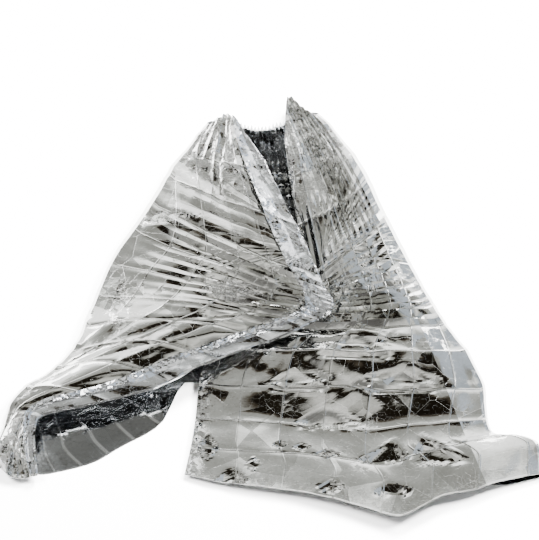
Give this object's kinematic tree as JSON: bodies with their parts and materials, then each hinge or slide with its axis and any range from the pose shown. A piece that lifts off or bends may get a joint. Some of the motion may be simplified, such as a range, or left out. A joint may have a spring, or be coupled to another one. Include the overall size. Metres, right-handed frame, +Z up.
{
  "type": "emergency foil blanket",
  "caption": "Rectangular sheet of metallised film, laid on the floor as a gathered cape with its front panels folded over its back",
  "frame": {"origin": "On the floor, under the middle of the blanket as it lies.", "axes": "+X to the right, from one side fold to the other; +Y from the hem to the neck; +Z up."},
  "size_m": [1.2234, 1.1788, 0.1039],
  "materials": {
    "film": "bright silver metallised film, crinkled, with sharp packing folds"
  },
  "bodies": {
    "root": {"blanket": "film"}
  },
  "joints": []
}
